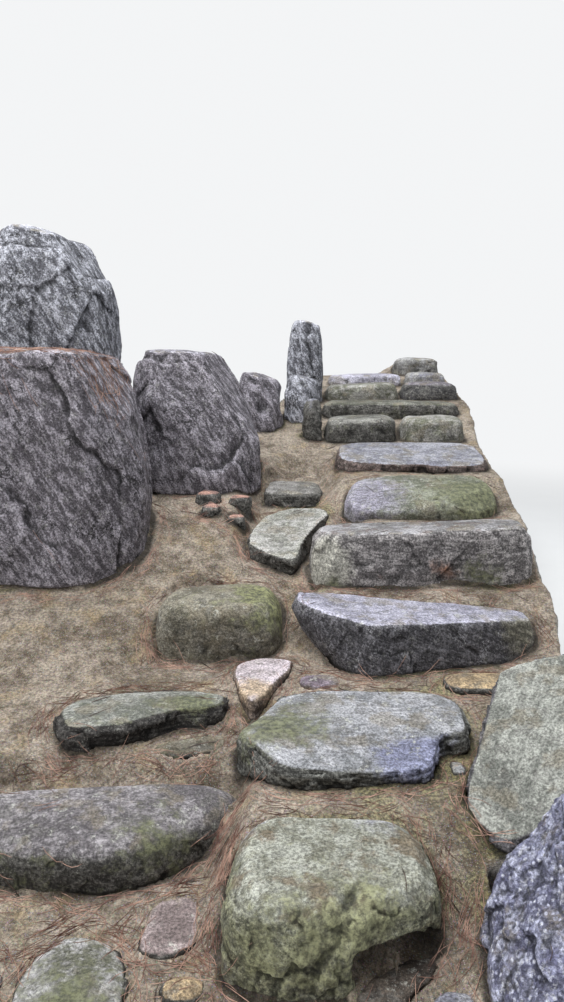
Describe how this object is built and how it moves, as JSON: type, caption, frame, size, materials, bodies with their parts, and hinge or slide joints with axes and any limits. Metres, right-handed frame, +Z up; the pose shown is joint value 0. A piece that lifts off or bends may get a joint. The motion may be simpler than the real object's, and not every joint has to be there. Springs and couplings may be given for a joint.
{
  "type": "outdoor stone steps",
  "caption": "Flight of uneven stone steps: mossy boulders and cleft slabs bedded in sandy mortar, with boulders along one bank and a tilted flag on the other side.",
  "frame": {"origin": "on the floor under the foot stones, 140 mm behind their front edge, near the middle of the flight", "axes": "+X across the steps to the right, +Y up the flight, +Z up"},
  "size_m": [2.5625, 4.34, 1.9231],
  "materials": {
    "bedding": "sandy mortar over rubble, worn and grainy",
    "mossy_stone": "weathered stone with moss and algae",
    "grey_slab": "worn cleft slab with pale lichen",
    "bluish_slab": "fine-grained blue-grey stone, split surface",
    "dark_slab": "rough dark split stone with pale veins",
    "brown_stone": "rough brown stone",
    "pink_stone": "pale pink cleft plate",
    "purple_stone": "purple slate chip",
    "ochre_stone": "ochre sandstone",
    "pebbly_rock": "coarse blue-grey rock with white pebbles",
    "bank_rock": "dark purple-grey boulder, coarse",
    "light_rock": "pale grey boulder, coarse",
    "red_rubble": "red-brown rubble stone"
  },
  "bodies": {
    "root": {"bed_foot": "bedding", "bed_lower": "bedding", "bed_middle": "bedding", "bed_upper": "bedding", "bed_high": "bedding", "bed_head": "bedding", "foot_left": "mossy_stone", "foot_corner": "bluish_slab", "foot_right": "bluish_slab", "foot_riser": "brown_stone", "cobble": "ochre_stone", "worn_stone": "purple_stone", "front_boulder": "mossy_stone", "pillow_slab": "mossy_stone", "cleft_slab": "grey_slab", "left_slab": "grey_slab", "left_riser": "mossy_stone", "packing_stone": "bluish_slab", "pink_plate": "pink_stone", "purple_chip": "purple_stone", "ochre_stone": "ochre_stone", "side_flag": "grey_slab", "side_boulder": "pebbly_rock", "dark_stone": "dark_slab", "mossy_boulder": "mossy_stone", "long_block": "dark_slab", "tilted_slab": "grey_slab", "rubble_stones": "red_rubble", "ridge_stone": "mossy_stone", "fifth_left": "grey_slab", "sixth_slab": "bluish_slab", "seventh_left": "mossy_stone", "seventh_right": "mossy_stone", "eighth_stone": "mossy_stone", "ninth_left": "mossy_stone", "ninth_right": "dark_slab", "tenth_left": "bluish_slab", "tenth_right": "bluish_slab", "top_stone": "mossy_stone", "bank_front": "bank_rock", "bank_middle": "bank_rock", "bank_back": "bank_rock", "bank_upper": "light_rock", "bank_dark": "bank_rock", "bank_grey": "light_rock", "wedge_stone": "bluish_slab", "upright_stone": "light_rock"}
  },
  "joints": []
}
